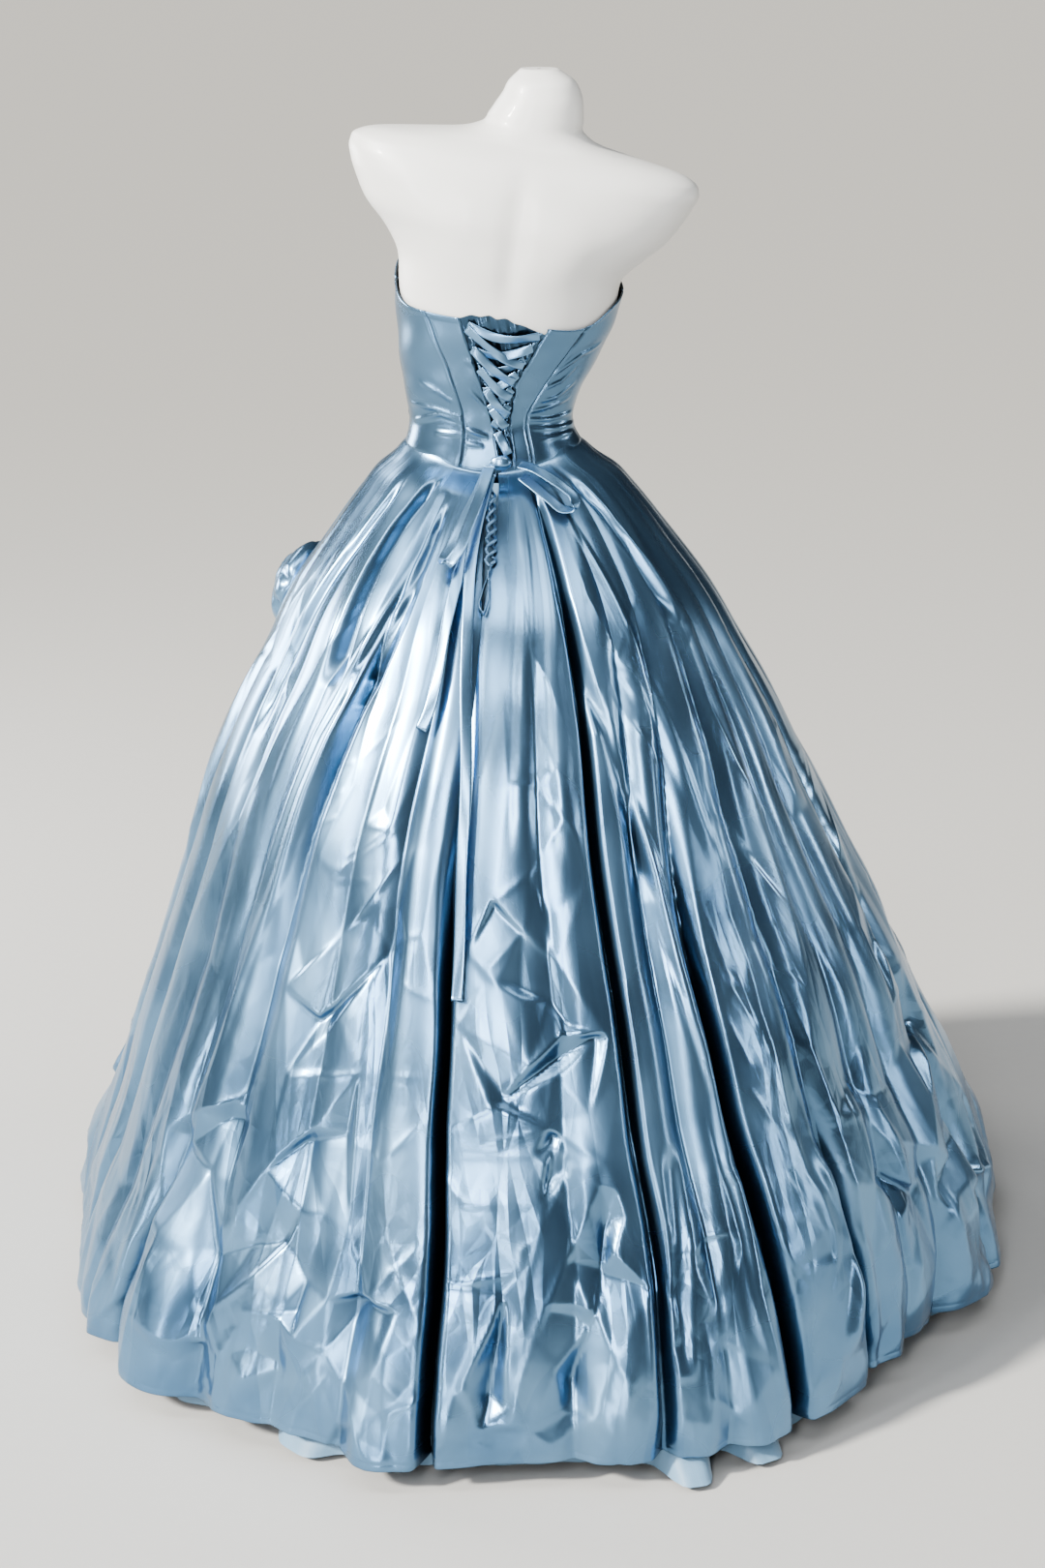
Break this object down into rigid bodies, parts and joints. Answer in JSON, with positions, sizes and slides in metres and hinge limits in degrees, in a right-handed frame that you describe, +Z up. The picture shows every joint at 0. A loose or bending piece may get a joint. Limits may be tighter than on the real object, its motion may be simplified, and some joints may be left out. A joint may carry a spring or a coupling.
{
  "type": "ball gown on a dress form",
  "caption": "Strapless ball gown with a lace-up corset back, full gathered skirt, waist bow and hip rosette, standing on a limbless torso form on a pole and round base.",
  "frame": {"origin": "on the floor, centre of the underside of the form's round base", "axes": "+Z up; -Y is the gown's front and +Y its laced back; +X is the wearer's left"},
  "size_m": [1.2698, 1.2425, 1.567],
  "materials": {
    "satin": "crisp high-lustre satin",
    "lining": "matte plain lining",
    "form_skin": "smooth white shell, soft sheen",
    "form_metal": "white powder coat"
  },
  "bodies": {
    "root": {"bodice_centre_back_left": "satin", "bodice_centre_back_right": "satin", "bodice_centre_front": "satin", "bodice_side_back_left": "satin", "bodice_side_back_right": "satin", "bodice_side_front_left": "satin", "bodice_side_front_right": "satin", "bow_knot": "satin", "bow_loop_left": "satin", "bow_loop_right": "satin", "bow_tail_long": "satin", "bow_tail_short": "satin", "form_base": "form_metal", "form_pole": "form_metal", "form_torso": "form_skin", "lace_over_1": "satin", "lace_over_2": "satin", "lace_over_3": "satin", "lace_over_4": "satin", "lace_over_5": "satin", "lace_over_6": "satin", "lace_under_1": "satin", "lace_under_2": "satin", "lace_under_3": "satin", "lace_under_4": "satin", "lace_under_5": "satin", "lace_under_6": "satin", "loops_left": "satin", "loops_right": "satin", "modesty_panel": "satin", "rosette": "satin", "skirt_back_left": "satin", "skirt_back_right": "satin", "skirt_front": "satin", "slit_end": "satin", "slit_loops": "satin", "underskirt_back_left": "lining", "underskirt_left": "lining", "underskirt_front_left": "lining", "underskirt_front_right": "lining", "underskirt_right": "lining", "underskirt_back_right": "lining"}
  },
  "joints": []
}
